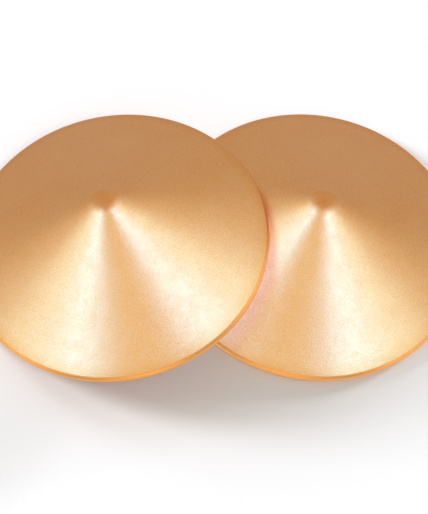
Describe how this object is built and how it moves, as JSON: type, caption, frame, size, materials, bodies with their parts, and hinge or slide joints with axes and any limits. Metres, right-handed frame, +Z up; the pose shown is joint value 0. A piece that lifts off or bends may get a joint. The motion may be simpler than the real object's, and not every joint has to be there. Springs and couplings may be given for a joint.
{
  "type": "finger cymbals",
  "caption": "Pair of shallow conical bronze finger cymbals with tip rivets and elastic finger loops inside, one lying flat and one leaning on it.",
  "frame": {"origin": "middle of the pair's footprint, at the height of the table that both cymbals stand on", "axes": "+Z up; +X along the row of the two cymbals, from the leaning left cymbal towards the flat right one; +Y away from the front view"},
  "size_m": [0.0962, 0.075, 0.0262],
  "materials": {
    "bronze": "satin turned bronze, fine bead-blasted grain",
    "burr_brass": "plain bright brass, slightly dulled",
    "leather": "tan vegetable-tanned leather, cut edge",
    "elastic": "black woven elastic, matte"
  },
  "bodies": {
    "right_cymbal": {"right_cone": "bronze", "right_tip_rivet": "bronze", "right_leather_washer": "leather", "right_rivet_burr": "burr_brass"},
    "right_loop": {"right_finger_loop": "elastic"},
    "left_cymbal": {"left_cone": "bronze", "left_tip_rivet": "bronze", "left_leather_washer": "leather", "left_rivet_burr": "burr_brass"},
    "left_loop": {"left_finger_loop": "elastic"}
  },
  "joints": [
    {"name": "right_loop_swivel", "type": "hinge", "parent": "right_cymbal", "child": "right_loop", "pos_m": [0.01807, 0.00749, 0.01412], "axis": [0, 0, 1], "continuous": true},
    {"name": "left_lift_off", "type": "slide", "parent": "right_cymbal", "child": "left_cymbal", "axis": [0, 0, 1], "range_m": [0, 0.06]},
    {"name": "left_loop_swivel", "type": "hinge", "parent": "left_cymbal", "child": "left_loop", "pos_m": [-0.02207, -0.00804, 0.0208], "axis": [-0.2419, -0.0405, 0.9694], "continuous": true}
  ]
}
